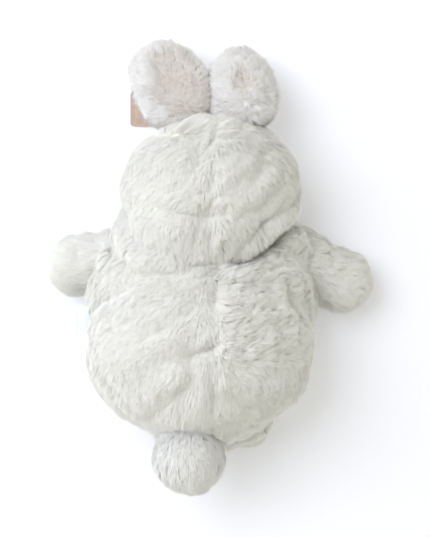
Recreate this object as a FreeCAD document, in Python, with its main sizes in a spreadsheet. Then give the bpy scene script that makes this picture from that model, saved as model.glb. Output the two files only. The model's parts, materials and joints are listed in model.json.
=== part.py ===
"""Stuffed bunny lying on its belly: fur fabric panels, fillings, face, ears, tail and swing tag.

Millimetres. +Z is up (the bunny's back), +Y points to the ears, +X to the bunny's right-hand side
as it is seen from above. The origin is on the surface it lies on, under the middle of its box.
Every body part is a sewn skin of fur panels round its own filling; the parts that flex are rounded
where they meet, so that each turns in a socket with a small clearance.
"""
import FreeCAD, Part
import math
import os

SIZES = (
    ("panel", 4, "fur fabric panel: backing and the pile laid flat"),
    ("ease", 0.3, "gap between a filling and its panels"),
    ("clearance", 1.5, "gap round a part that flexes"),
    ("reach", 400, "size of the boxes that split the panels at the seams"),
    ("seam_x", 0, "centre-back seam of torso and head"),
    ("torso_x", -11.5, "torso centre"),
    ("torso_y", -74, "torso centre"),
    ("torso_z", 68, "torso centre"),
    ("torso_rx", 97, "torso half width"),
    ("torso_ry", 85, "torso half length"),
    ("torso_rz", 80, "torso half height before the belly is pressed flat"),
    ("torso_seam_z", 62, "side seam of the torso"),
    ("chest_x", -7.5, "shoulder bulge centre"),
    ("chest_y", -22, "shoulder bulge centre"),
    ("chest_z", 60, "shoulder bulge centre"),
    ("chest_rx", 96, "shoulder bulge half width"),
    ("chest_ry", 52, "shoulder bulge half length"),
    ("chest_rz", 66, "shoulder bulge half height"),
    ("neck_x", 0, "middle of the neck opening, where the head turns and nods"),
    ("neck_y", 22, "middle of the neck opening"),
    ("neck_z", 62, "middle of the neck opening"),
    ("neck_radius", 38, "filling packed through the neck opening"),
    ("crease_length", 220, "length of the two cones that shape the neck crease"),
    ("crease_start", 4, "how far from the middle of the neck the cones' small ends are"),
    ("crease_tip", 20, "radius of the cones' small ends, inside the neck"),
    ("torso_crease_radius", 1000, "base radius of the torso's cone"),
    ("head_crease_radius", 1200, "base radius of the head's cone"),
    ("head_x", -1, "head centre"),
    ("head_y", 65, "head centre"),
    ("head_z", 67, "head centre"),
    ("head_rx", 79, "head half width"),
    ("head_ry", 66, "head half length"),
    ("head_rz", 67, "head half depth"),
    ("head_seam_z", 60, "seam between face and back of the head"),
    ("muzzle_z", 3, "height of the muzzle, pressed flat over the nose"),
    ("eye_x", 32, "eye, from the middle of the face"),
    ("eye_y", 73, "eye"),
    ("eye_z", 6.5, "eye, where its flange meets the face"),
    ("eye_radius", 6.5, "eye dome"),
    ("eye_depth", 4, "eye dome height"),
    ("eye_tilt", 20, "angle of the eye's shank to the vertical"),
    ("shank_radius", 2, "eye shank"),
    ("shank_length", 13, "eye shank"),
    ("washer_radius", 7, "locking washer behind the eye"),
    ("washer_thickness", 1.5, "locking washer"),
    ("washer_gap", 2.5, "gap between the face panel and the washer"),
    ("washer_play", 0.3, "room round the washer in the filling"),
    ("nose_y", 61, "nose"),
    ("nose_rx", 8, "nose half width"),
    ("nose_ry", 5.5, "nose half length"),
    ("thread_radius", 0.7, "sewing and embroidery thread"),
    ("mouth_gap", 1, "gap between the nose and the mouth"),
    ("mouth_length", 7, "each stitch of the mouth"),
    ("mouth_spread", 50, "angle of the two lower mouth stitches to the middle one"),
    ("ear_y", 134, "ear root"),
    ("ear_z", 62, "ear root"),
    ("ear_slope", 25, "how far the ears lean down at rest"),
    ("ear_thickness", 10, "half thickness of an ear"),
    ("ear_groove", 13, "groove in the crown round an ear's hinge line"),
    ("ear_root_share", 0.9, "half length of the groove, as a share of the ear's half width"),
    ("ear_tail", 8, "how far an ear reaches back past its root"),
    ("lining", 3, "ear lining"),
    ("scoop_rise", 9, "how far the middle of the hollow's ellipsoid is above the ear's"),
    ("scoop_depth", 13, "half depth of the hollow's ellipsoid"),
    ("scoop_share", 0.8, "hollow's outline, as a share of the ear's"),
    ("ear_left_splay", 12, "how far the left ear leans to the side"),
    ("ear_left_x", -30, "left ear"),
    ("ear_left_rx", 32.5, "left ear half width"),
    ("ear_left_ry", 40.5, "left ear half length"),
    ("ear_right_splay", 4, "how far the right ear leans to the side"),
    ("ear_right_x", 28, "right ear"),
    ("ear_right_rx", 28.5, "right ear half width"),
    ("ear_right_ry", 36, "right ear half length"),
    ("arm_x", 72, "shoulder"),
    ("arm_y", 5, "shoulder"),
    ("arm_radius", 27.5, "arm"),
    ("arm_length", 48, "shoulder to the middle of the paw's round end"),
    ("arm_left_droop", 6, "how far the left arm points to the tail"),
    ("arm_right_droop", 24, "how far the right arm points to the tail"),
    ("leg_x", 34, "hip"),
    ("leg_y", -114, "hip"),
    ("leg_z", 30, "hip"),
    ("foot_x", 30, "middle of the foot's round end"),
    ("foot_y", -141, "middle of the foot's round end"),
    ("leg_radius", 23, "leg"),
    ("sole_y", -150, "seam between the leg's fur and its sole"),
    ("tail_x", -20, "tail centre"),
    ("tail_y", -164.5, "tail centre"),
    ("tail_z", 98, "tail centre"),
    ("tail_radius", 30.5, "tail"),
    ("tail_root_x", -18, "where the tail is sewn on"),
    ("tail_root_y", -140, "where the tail is sewn on"),
    ("tail_mouth", 9, "gathered opening in the tail's cover"),
    ("stitch_count", 9, "hand stitches that close the back"),
    ("stitch_start_y", -42, "first closing stitch"),
    ("stitch_pitch", 6, "closing stitches"),
    ("stitch_length", 9, "closing stitches"),
    ("label_x", -119.5, "label's free edge"),
    ("label_y", -60, "label's lower edge"),
    ("label_width", 15, "label, from inside the seam to its free edge"),
    ("label_height", 24, "label, along the seam"),
    ("label_thickness", 0.8, "folded satin label"),
    ("card_x", -75.5, "tag's outer edge"),
    ("card_y", 128, "tag's lower edge"),
    ("card_z", 1.4, "tag's underside"),
    ("card_width", 28, "tag"),
    ("card_height", 32, "tag"),
    ("card_thickness", 0.8, "tag leaf"),
    ("card_corner", 3, "tag corner radius"),
    ("card_gap", 0.4, "gap between the two leaves"),
    ("card_shift", 3, "how far the front leaf is skewed from the back one"),
    ("pin_radius", 0.6, "tag pin filament"),
    ("pin_hole", 1.6, "hole in the back leaf"),
    ("pin_slot", 2.8, "hole in the front leaf, which opens round the pin"),
    ("pin_x", -64.5, "hole for the tag pin"),
    ("pin_y", 155, "hole for the tag pin"),
    ("pin_foot_z", 0.7, "cross-bar under the back leaf"),
    ("pin_lift_z", 8, "where the pin starts to bow"),
    ("pin_bulge_x", -75, "outermost point of the pin's bow"),
    ("pin_bulge_y", 163, "outermost point of the pin's bow"),
    ("pin_bulge_z", 24, "outermost point of the pin's bow"),
    ("pin_top_x", -69, "where the pin goes into the edge of the ear"),
    ("pin_top_y", 163, "where the pin goes into the edge of the ear"),
    ("pin_top_z", 44, "where the pin goes into the edge of the ear"),
    ("pin_bar", 8, "cross-bar at the foot of the pin"),
)

# The travel of each flexing part, in degrees from rest, that its socket makes room for.
ARM_TRAVEL = {"left": (-30, -10, 10, 30, 45), "right": (-20, 0, 20, 40, 55)}
LEG_TRAVEL = (0, 25, 50, 75)
TAIL_TRAVEL = (-20, -10, 0, 10, 20)
SIDES = (("left", -1), ("right", 1))
X_AXIS = FreeCAD.Vector(1, 0, 0)
Y_AXIS = FreeCAD.Vector(0, 1, 0)
Z_AXIS = FreeCAD.Vector(0, 0, 1)

doc = FreeCAD.newDocument("stuffed_bunny")
sheet = doc.addObject("Spreadsheet::Sheet", "Size")
for row, (alias, value, note) in enumerate(SIZES, start=1):
    sheet.set(f"A{row}", note)
    sheet.set(f"B{row}", str(value))
    sheet.setAlias(f"B{row}", alias)
doc.recompute()

sub_parts = []


def size(alias):
    """The number in a cell."""
    return float(sheet.get(alias))


def point(name):
    """The point held by the cells NAME_x, NAME_y and NAME_z."""
    return FreeCAD.Vector(size(name + "_x"), size(name + "_y"), size(name + "_z"))


def put(obj, x="0", y="0", z="0"):
    """Binds the object's position to formulas."""
    for axis, formula in zip("xyz", (x, y, z)):
        obj.setExpression("Placement.Base." + axis, formula)
    return obj


def turned(direction, angle, axis):
    """The direction after a turn about an axis through the origin."""
    return FreeCAD.Rotation(axis, angle).multVec(direction)


def fuse(name, pieces):
    obj = doc.addObject("Part::MultiFuse", name)
    obj.Shapes = pieces
    return obj


def cut(name, base, tool):
    obj = doc.addObject("Part::Cut", name)
    obj.Base = base
    obj.Tool = tool
    return obj


def common(name, *pieces):
    obj = doc.addObject("Part::MultiCommon", name)
    obj.Shapes = list(pieces)
    return obj


def sub_part(obj, node):
    """Marks an object as a piece of the bunny: its label names its file."""
    obj.Label = node
    sub_parts.append(obj)
    return obj


def sphere(name, radius, centre):
    obj = doc.addObject("Part::Sphere", name)
    obj.setExpression("Radius", radius)
    obj.Placement.Base = centre
    return obj


def ellipsoid(name, cells, grow="0"):
    """Ellipsoid from the cells CELLS_x to CELLS_rz, with its half axes grown by a formula."""
    obj = doc.addObject("Part::Ellipsoid", name)
    for prop, cell in (("Radius1", "rz"), ("Radius2", "rx"), ("Radius3", "ry")):
        obj.setExpression(prop, f"Size.{cells}_{cell} + ({grow})")
    return put(obj, f"Size.{cells}_x", f"Size.{cells}_y", f"Size.{cells}_z")


def half_space(name, x="-Size.reach / 2", y="-Size.reach / 2", z="-Size.reach / 2"):
    """A box as large as the bunny that starts at the given corner."""
    obj = doc.addObject("Part::Box", name)
    for prop in ("Length", "Width", "Height"):
        obj.setExpression(prop, "Size.reach")
    return put(obj, x, y, z)


def rod(name, radius, start, end):
    """Cylinder from one point to another."""
    obj = doc.addObject("Part::Cylinder", name)
    obj.setExpression("Radius", radius)
    obj.Height = (end - start).Length
    obj.Placement = FreeCAD.Placement(start, FreeCAD.Rotation(Z_AXIS, end - start))
    return obj


def capsule(name, radius, start, end):
    """A rod with a half ball on each end."""
    side = rod(name + "_side", radius, start, end)
    pieces = [side]
    for half, centre, low, high in (("start", start, -90, 0), ("end", end, 0, 90)):
        ball = sphere(f"{name}_{half}", radius, centre)
        ball.Angle1 = low
        ball.Angle2 = high
        ball.Placement.Rotation = side.Placement.Rotation
        pieces.append(ball)
    return fuse(name, pieces)


def bent_rod(name, radius, points):
    """Thin rod through several points, round at its bends."""
    pieces = []
    for index, (start, end) in enumerate(zip(points, points[1:])):
        pieces.append(rod(f"{name}_run_{index}", radius, start, end))
    for index, bend in enumerate(points[1:-1]):
        pieces.append(sphere(f"{name}_bend_{index}", radius, bend))
    return fuse(name, pieces)


def crease_cone(name, towards_tail, radius):
    """Blunt cone that widens away from the neck: a body keeps what lies inside it."""
    obj = doc.addObject("Part::Cone", name)
    obj.setExpression("Height", "Size.crease_length")
    obj.setExpression("Radius1", radius if towards_tail else "Size.crease_tip")
    obj.setExpression("Radius2", "Size.crease_tip" if towards_tail else radius)
    obj.Placement.Rotation = FreeCAD.Rotation(X_AXIS, -90)
    offset = "- Size.crease_start - Size.crease_length" if towards_tail else "+ Size.crease_start"
    return put(obj, "Size.neck_x", "Size.neck_y " + offset, "Size.neck_z")


def limb_ends():
    """Start and end of every arm and leg, and how it turns: {name: (start, end, axis, travel)}."""
    ends = {}
    for side, sign in SIDES:
        shoulder = FreeCAD.Vector(sign * size("arm_x"), size("arm_y"), size("arm_radius"))
        droop = size(f"arm_{side}_droop")
        along = turned(X_AXIS * sign, -sign * droop, Z_AXIS)
        paw = shoulder + along * size("arm_length")
        ends["arm_" + side] = (shoulder, paw, Z_AXIS * sign, ARM_TRAVEL[side])
        hip = FreeCAD.Vector(sign * size("leg_x"), size("leg_y"), size("leg_z"))
        foot = FreeCAD.Vector(sign * size("foot_x"), size("foot_y"), size("leg_radius"))
        ends["leg_" + side] = (hip, foot, X_AXIS, LEG_TRAVEL)
    return ends


LIMBS = limb_ends()


def limb_socket(limb):
    """Room in the torso for a limb over its whole travel."""
    start, end, axis, travel = LIMBS[limb]
    radius = f"Size.{limb[:3]}_radius + Size.clearance"
    pieces = []
    for index, angle in enumerate(travel):
        tip = start + turned(end - start, angle, axis)
        pieces.append(capsule(f"{limb}_room_{index}", radius, start, tip))
    return pieces


def tail_socket():
    """Room in the rump for the tail as it wags."""
    root = FreeCAD.Vector(size("tail_root_x"), size("tail_root_y"), size("tail_z"))
    pieces = []
    for index, angle in enumerate(TAIL_TRAVEL):
        centre = root + turned(point("tail") - root, angle, Z_AXIS)
        pieces.append(sphere(f"tail_room_{index}", "Size.tail_radius + Size.clearance", centre))
    return pieces


def neck_socket(name):
    return sphere(name, "Size.neck_radius + Size.clearance", point("neck"))


def torso_hull(name, grow, floor):
    """The torso and its shoulder bulge as one form, pressed flat at the given height."""
    form = fuse(name + "_form", [
        ellipsoid(name + "_barrel", "torso", grow),
        ellipsoid(name + "_shoulders", "chest", grow),
    ])
    return common(name, form, half_space(name + "_floor", z=floor))


def build_torso():
    rooms = [neck_socket("torso_neck_room")] + tail_socket()
    for limb in LIMBS:
        rooms += limb_socket(limb)
    sockets = fuse("torso_sockets", rooms)
    crease = crease_cone("torso_crease", True, "Size.torso_crease_radius")
    whole = common("torso_whole", torso_hull("torso_outside", "0", "0"), crease)
    body = cut("torso_body", whole, sockets)
    skin = cut("torso_skin", body, torso_hull("torso_inside", "-Size.panel", "Size.panel"))
    inset = "-Size.panel - Size.ease"
    room = torso_hull("torso_room", inset, "Size.panel + Size.ease")
    sub_part(common("torso_filling", body, room), "torso_stuffing")
    for side, edge in (("left", "Size.seam_x - Size.reach"), ("right", "Size.seam_x")):
        quarter = half_space(f"torso_{side}", x=edge, z="Size.torso_seam_z")
        sub_part(common(f"torso_skin_{side}", skin, quarter), f"back_panel_{side}")
    lower = half_space("torso_lower", z="Size.torso_seam_z - Size.reach")
    sub_part(common("torso_skin_belly", skin, lower), "belly_panel")


def back_height(y):
    """Height of the torso's surface on the centre-back seam."""
    across = (size("seam_x") - size("torso_x")) / size("torso_rx")
    along = (y - size("torso_y")) / size("torso_ry")
    return size("torso_z") + size("torso_rz") * math.sqrt(1 - across**2 - along**2)


def build_closing_stitches():
    """Hand stitches across the centre-back seam, where the filling went in."""
    stitches = []
    half = size("stitch_length") / 2
    for index in range(int(size("stitch_count"))):
        y = size("stitch_start_y") - index * size("stitch_pitch")
        z = back_height(y)
        start = FreeCAD.Vector(size("seam_x") - half, y, z)
        end = FreeCAD.Vector(size("seam_x") + half, y, z)
        stitches.append(rod(f"stitch_{index}", "Size.thread_radius", start, end))
    group = doc.addObject("Part::Compound", "back_stitches")
    group.Links = stitches
    sub_part(group, "closing_stitches")


def build_side_label():
    """Folded satin label, caught in the left side seam."""
    label = doc.addObject("Part::Box", "label")
    label.setExpression("Length", "Size.label_width")
    label.setExpression("Width", "Size.label_height")
    label.setExpression("Height", "Size.label_thickness")
    put(label, "Size.label_x", "Size.label_y", "Size.torso_seam_z - Size.label_thickness / 2")
    sub_part(label, "side_label")


def build_neck():
    sub_part(sphere("neck_filling", "Size.neck_radius", point("neck")), "neck_stuffing")


def ear_form(name, side, grow, share="1", rise=0, depth="Size.ear_thickness"):
    """Flat ellipsoid in an ear's place, leaning down from the ear's root."""
    obj = doc.addObject("Part::Ellipsoid", name)
    obj.setExpression("Radius1", f"{depth} + ({grow})")
    obj.setExpression("Radius2", f"Size.ear_{side}_rx * {share} + ({grow})")
    obj.setExpression("Radius3", f"Size.ear_{side}_ry * {share} + ({grow})")
    root = FreeCAD.Vector(size(f"ear_{side}_x"), size("ear_y"), size("ear_z"))
    splay = FreeCAD.Rotation(Z_AXIS, size(f"ear_{side}_splay"))
    lean = FreeCAD.Rotation(X_AXIS, -size("ear_slope")) * splay
    middle = FreeCAD.Vector(0, size(f"ear_{side}_ry") - size("ear_tail"), rise)
    obj.Placement = FreeCAD.Placement(root + lean.multVec(middle), lean)
    return obj


def build_ear(side):
    """An outer fur panel and a short-pile lining that lies in its hollow."""
    hollow = {"share": "Size.scoop_share", "rise": size("scoop_rise"), "depth": "Size.scoop_depth"}
    outside = ear_form(f"ear_{side}_outside", side, "0")
    bed = ear_form(f"ear_{side}_bed", side, "0", **hollow)
    scoop = ear_form(f"ear_{side}_scoop", side, "-Size.lining", **hollow)
    sub_part(cut(f"ear_{side}_cup", outside, bed), f"ear_{side}_shell")
    layer = common(f"ear_{side}_layer", outside, bed)
    sub_part(cut(f"ear_{side}_dish", layer, scoop), f"ear_{side}_lining")


def ear_sockets():
    """A groove along each ear's hinge line, in which its narrow root turns."""
    grooves = []
    for side, _ in SIDES:
        root = FreeCAD.Vector(size(f"ear_{side}_x"), size("ear_y"), size("ear_z"))
        half = X_AXIS * (size("ear_root_share") * size(f"ear_{side}_rx"))
        grooves.append(rod(f"ear_{side}_groove", "Size.ear_groove", root - half, root + half))
    return grooves


def head_hull(name, grow, floor):
    return common(name, ellipsoid(name + "_ball", "head", grow), half_space(name + "_floor", z=floor))


def eye_frame(sign):
    """Where an eye's flange lies on the face, with +Z of the frame pointing into the head."""
    place = FreeCAD.Vector(size("head_x") + sign * size("eye_x"), size("eye_y"), size("eye_z"))
    return FreeCAD.Placement(place, FreeCAD.Rotation(Y_AXIS, -sign * size("eye_tilt")))


def eye_rod(name, sign, radius, start, length):
    """Cylinder along an eye's shank, from a distance behind its flange."""
    obj = doc.addObject("Part::Cylinder", name)
    obj.setExpression("Radius", radius)
    obj.setExpression("Height", length)
    frame = eye_frame(sign)
    obj.Placement = FreeCAD.Placement(frame.multVec(FreeCAD.Vector(0, 0, start)), frame.Rotation)
    return obj


def low_dome(name, half_width, half_length, height):
    """Lower half of an ellipsoid, with its flat side up."""
    obj = doc.addObject("Part::Ellipsoid", name)
    obj.setExpression("Radius1", height)
    obj.setExpression("Radius2", half_width)
    obj.setExpression("Radius3", half_length)
    obj.Angle2 = 0
    return obj


def eye_dome(name, sign):
    dome = low_dome(name, "Size.eye_radius", "Size.eye_radius", "Size.eye_depth")
    dome.Placement = eye_frame(sign)
    return dome


def build_eye(side, sign):
    """Plastic safety eye: a dome outside, a shank through the face and a locking washer inside."""
    into_dome = size("eye_depth") / 2
    shank = eye_rod(f"eye_{side}_shank", sign, "Size.shank_radius", -into_dome,
                    "Size.shank_length + Size.eye_depth / 2")
    sub_part(fuse(f"eye_{side}_plug", [eye_dome(f"eye_{side}_dome", sign), shank]), f"eye_{side}")
    behind = size("panel") + size("washer_gap")
    ring = eye_rod(f"washer_{side}_disc", sign, "Size.washer_radius", behind, "Size.washer_thickness")
    bore = eye_rod(f"washer_{side}_bore", sign, "Size.shank_radius", 0, "Size.shank_length")
    sub_part(cut(f"washer_{side}_ring", ring, bore), f"eye_washer_{side}")


def face_holes():
    """Each eye's shank goes through the face, and its dome beds into the fur."""
    pieces = []
    for side, sign in SIDES:
        pieces.append(eye_dome(f"eye_{side}_bed", sign))
        pieces.append(eye_rod(f"eye_{side}_hole", sign, "Size.shank_radius", -2 * size("eye_depth"),
                              "Size.shank_length + 2 * Size.eye_depth"))
    return fuse("face_eye_holes", pieces)


def filling_pockets():
    """Room in the head's filling for the eyes' shanks and washers."""
    washer_end = "Size.panel + Size.washer_gap + Size.washer_thickness + Size.washer_play"
    pieces = []
    for side, sign in SIDES:
        pieces.append(eye_rod(f"eye_{side}_pocket", sign, "Size.shank_radius", 0,
                              "Size.shank_length + Size.ease"))
        pieces.append(eye_rod(f"washer_{side}_pocket", sign, "Size.washer_radius + Size.washer_play",
                              0, washer_end))
    return fuse("filling_eye_pockets", pieces)


def build_nose_and_mouth():
    """Velvet nose and embroidered mouth on the flat of the muzzle."""
    pad = low_dome("nose_pad", "Size.nose_rx", "Size.nose_ry", "Size.muzzle_z")
    sub_part(put(pad, "Size.head_x", "Size.nose_y", "Size.muzzle_z"), "nose")
    top = FreeCAD.Vector(size("head_x"), size("nose_y") - size("nose_ry") - size("mouth_gap"),
                         size("muzzle_z") - size("thread_radius"))
    down = FreeCAD.Vector(0, -size("mouth_length"), 0)
    fork = top + down
    strands = [rod("mouth_middle", "Size.thread_radius", top, fork)]
    for side, sign in SIDES:
        end = fork + turned(down, sign * size("mouth_spread"), Z_AXIS)
        strands.append(rod(f"mouth_{side}", "Size.thread_radius", fork, end))
    strands.append(sphere("mouth_fork", "Size.thread_radius", fork))
    sub_part(fuse("mouth_thread", strands), "mouth_stitches")


def build_head():
    rooms = fuse("head_rooms", [neck_socket("head_neck_room")] + ear_sockets())
    crease = crease_cone("head_crease", False, "Size.head_crease_radius")
    whole = common("head_whole", head_hull("head_outside", "0", "Size.muzzle_z"), crease)
    body = cut("head_body", whole, rooms)
    skin = cut("head_skin", body, head_hull("head_inside", "-Size.panel", "Size.muzzle_z + Size.panel"))
    for side, edge in (("left", "Size.seam_x - Size.reach"), ("right", "Size.seam_x")):
        quarter = half_space(f"head_{side}", x=edge, z="Size.head_seam_z")
        sub_part(common(f"head_skin_{side}", skin, quarter), f"head_back_{side}")
    lower = half_space("head_lower", z="Size.head_seam_z - Size.reach")
    face = common("head_skin_face", skin, lower)
    sub_part(cut("head_skin_pierced", face, face_holes()), "face_panel")
    room = head_hull("head_room", "-Size.panel - Size.ease", "Size.muzzle_z + Size.panel + Size.ease")
    filling = common("head_fill", body, room)
    sub_part(cut("head_filling", filling, filling_pockets()), "head_stuffing")
    for side, sign in SIDES:
        build_eye(side, sign)
    build_nose_and_mouth()


def build_limb(limb, radius, seam, names):
    """Two panels and a filling; seam is (axis letter, cell or formula of the seam plane)."""
    start, end, _, _ = LIMBS[limb]
    letter, plane = seam
    outer = capsule(limb + "_outside", radius, start, end)
    inner = capsule(limb + "_inside", radius + " - Size.panel", start, end)
    skin = cut(limb + "_skin", outer, inner)
    above = half_space(limb + "_above", **{letter: plane})
    below = half_space(limb + "_below", **{letter: plane + " - Size.reach"})
    sub_part(common(limb + "_skin_above", skin, above), names[0])
    sub_part(common(limb + "_skin_below", skin, below), names[1])
    filling = capsule(limb + "_filling", radius + " - Size.panel - Size.ease", start, end)
    sub_part(filling, limb + "_stuffing")


def build_limbs():
    for side, _ in SIDES:
        build_limb(f"arm_{side}", "Size.arm_radius", ("z", "Size.arm_radius"),
                   (f"arm_{side}_back_panel", f"arm_{side}_front_panel"))
        build_limb(f"leg_{side}", "Size.leg_radius", ("y", "Size.sole_y"),
                   (f"leg_{side}_panel", f"foot_{side}_sole"))


def build_tail():
    """Round fur cover gathered over a ball of filling, with its gathering thread."""
    centre = point("tail")
    outer = sphere("tail_outside", "Size.tail_radius", centre)
    mouth = rod("tail_opening", "Size.tail_mouth", centre, centre + Y_AXIS * size("tail_radius"))
    inner = sphere("tail_inside", "Size.tail_radius - Size.panel", centre)
    sub_part(cut("tail_skin", outer, fuse("tail_hollow", [inner, mouth])), "tail_cover")
    sub_part(sphere("tail_filling", "Size.tail_radius - Size.panel - Size.ease", centre),
             "tail_stuffing")
    thread = doc.addObject("Part::Torus", "tail_gather")
    thread.setExpression("Radius1", "Size.tail_mouth - 2 * Size.thread_radius")
    thread.setExpression("Radius2", "Size.thread_radius")
    depth = size("tail_radius") - size("panel") / 2
    thread.Placement = FreeCAD.Placement(centre + Y_AXIS * depth, FreeCAD.Rotation(X_AXIS, 90))
    sub_part(thread, "tail_gathering_thread")


def card(name, shift, level, hole):
    """One leaf of the tag: a card with rounded corners and a hole for the pin."""
    leaf = doc.addObject("Part::Box", name + "_sheet")
    leaf.setExpression("Length", "Size.card_width")
    leaf.setExpression("Width", "Size.card_height")
    leaf.setExpression("Height", "Size.card_thickness")
    put(leaf, f"Size.card_x + {shift}", "Size.card_y", level)
    doc.recompute()
    rounded = doc.addObject("Part::Fillet", name + "_rounded")
    rounded.Base = leaf
    corners = []
    for number, edge in enumerate(leaf.Shape.Edges, start=1):
        if abs(edge.tangentAt(edge.FirstParameter).z) > 0.9:
            corners.append((number, size("card_corner"), size("card_corner")))
    rounded.Edges = corners
    punch = doc.addObject("Part::Cylinder", name + "_hole")
    punch.setExpression("Radius", hole)
    punch.setExpression("Height", "3 * Size.card_thickness")
    put(punch, "Size.pin_x", "Size.pin_y", f"{level} - Size.card_thickness")
    return cut(name, rounded, punch)


def build_tag():
    """Folded card on a bowed plastic pin that goes into the edge of the left ear."""
    sub_part(card("tag_lower", "0", "Size.card_z", "Size.pin_hole"), "tag_back_leaf")
    level = "Size.card_z + Size.card_thickness + Size.card_gap"
    sub_part(card("tag_upper", "Size.card_shift", level, "Size.pin_slot"), "tag_front_leaf")
    foot = FreeCAD.Vector(size("pin_x"), size("pin_y"), size("pin_foot_z"))
    lift = FreeCAD.Vector(size("pin_x"), size("pin_y"), size("pin_lift_z"))
    half_bar = X_AXIS * (size("pin_bar") / 2)
    bow = bent_rod("pin_bow", "Size.pin_radius", [foot, lift, point("pin_bulge"), point("pin_top")])
    bar = capsule("pin_foot", "Size.pin_radius", foot - half_bar, foot + half_bar)
    sub_part(fuse("pin", [bow, bar]), "tag_pin")


def check_and_write():
    """Stops on any failed object; writes each piece to its own file."""
    doc.recompute()
    failed = [obj.Name for obj in doc.Objects if {"Invalid", "Error"} & set(obj.State)]
    if failed:
        raise RuntimeError("failed objects: " + ", ".join(failed))
    os.makedirs("parts", exist_ok=True)
    for obj in sub_parts:
        shape = obj.Shape
        if shape.isNull() or not shape.isValid() or not shape.Solids:
            raise RuntimeError(f"{obj.Label} has no valid solid")
        shape.exportStep(f"parts/{obj.Label}.step")
        print(f"{obj.Label}: {len(shape.Solids)} solid, {shape.Volume / 1000:.1f} cm3")


build_torso()
build_closing_stitches()
build_side_label()
build_neck()
build_head()
for ear_side, _ in SIDES:
    build_ear(ear_side)
build_limbs()
build_tail()
build_tag()
check_and_write()
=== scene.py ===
"""Looks of the stuffed bunny round its CAD frame: fur skins, pile, face, ears, label, tag and studio.

Metres, in the frame's axes: +Z out of the bunny's back, +Y to its ears. Every skin is a closed form,
shaped and creased in code, cut into its panels at the seams, and covered with blades of pile.
"""
import json
import math
import bmesh
import bpy
import numpy as np
from mathutils import Matrix, Vector, noise
from mathutils.kdtree import KDTree


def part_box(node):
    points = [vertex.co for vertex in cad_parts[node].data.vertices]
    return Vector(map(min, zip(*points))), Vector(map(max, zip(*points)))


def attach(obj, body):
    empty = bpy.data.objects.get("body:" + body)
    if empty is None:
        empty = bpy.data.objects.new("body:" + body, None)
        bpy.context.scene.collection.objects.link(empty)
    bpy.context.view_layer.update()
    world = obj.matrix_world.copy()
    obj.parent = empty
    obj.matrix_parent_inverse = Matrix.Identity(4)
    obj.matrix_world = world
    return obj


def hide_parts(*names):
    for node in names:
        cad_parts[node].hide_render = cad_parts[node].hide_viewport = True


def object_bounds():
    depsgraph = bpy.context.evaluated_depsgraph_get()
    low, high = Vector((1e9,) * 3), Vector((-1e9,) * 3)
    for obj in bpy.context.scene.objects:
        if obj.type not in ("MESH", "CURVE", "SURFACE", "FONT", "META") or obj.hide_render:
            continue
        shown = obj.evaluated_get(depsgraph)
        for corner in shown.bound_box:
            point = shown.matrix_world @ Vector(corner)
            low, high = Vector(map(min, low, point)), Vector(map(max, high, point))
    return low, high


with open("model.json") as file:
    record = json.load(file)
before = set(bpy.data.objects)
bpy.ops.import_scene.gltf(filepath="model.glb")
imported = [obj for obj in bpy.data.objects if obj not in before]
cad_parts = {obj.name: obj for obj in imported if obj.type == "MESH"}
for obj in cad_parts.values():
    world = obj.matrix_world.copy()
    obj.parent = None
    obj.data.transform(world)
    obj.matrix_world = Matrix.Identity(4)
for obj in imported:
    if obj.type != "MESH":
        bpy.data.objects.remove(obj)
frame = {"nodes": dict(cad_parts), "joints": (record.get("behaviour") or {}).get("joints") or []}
cad_low, cad_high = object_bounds()

MM = 0.001
UP = np.array((0.0, 0.0, 1.0))
SIDES = (("left", -1), ("right", 1))
TORSO_PANELS = ("back_panel_left", "back_panel_right", "belly_panel")
HEAD_PANELS = ("head_back_left", "head_back_right", "face_panel")
CAMERA_HEIGHT = 1.40
VIEW_LENGTH = 0.470
VIEW_SHIFT = (4.5 * MM, -5.5 * MM)
SKY = (1.0, 0.988, 0.875, 1)
DAYLIGHT = (0.92, 0.965, 1.10)
scene = bpy.context.scene


def joint_place(name):
    """A point on a joint's axis."""
    return np.array(next(joint for joint in frame["joints"] if joint["name"] == name)["pos_m"])


def span(*nodes):
    """Lowest and highest corner round several CAD nodes."""
    boxes = np.array([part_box(node) for node in nodes])
    return boxes[:, 0].min(axis=0), boxes[:, 1].max(axis=0)


def add_object(name, data):
    obj = bpy.data.objects.new(name, data)
    scene.collection.objects.link(obj)
    return obj


# -------- camera, light and floor

def make_camera():
    """Straight above the bunny, with its ears to the top of the picture."""
    data = bpy.data.cameras.new("camera")
    camera = add_object("camera", data)
    middle = (np.array(cad_low) + np.array(cad_high)) / 2
    data.sensor_fit = "VERTICAL"
    data.sensor_height = 24
    data.lens = data.sensor_height * (CAMERA_HEIGHT - middle[2]) / VIEW_LENGTH
    data.clip_start = 0.05
    data.clip_end = 20
    camera.location = (middle[0] + VIEW_SHIFT[0], middle[1] + VIEW_SHIFT[1], CAMERA_HEIGHT)
    scene.camera = camera


def area_light(name, place, across, watts):
    """Round soft light, aimed at the bunny."""
    aim = Vector((0, -0.02, 0.05))
    data = bpy.data.lights.new(name, "AREA")
    data.shape = "DISK"
    data.size = across
    data.energy = watts
    data.color = DAYLIGHT
    lamp = add_object(name, data)
    lamp.location = place
    lamp.rotation_euler = (aim - Vector(place)).to_track_quat("-Z", "Y").to_euler()


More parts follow.
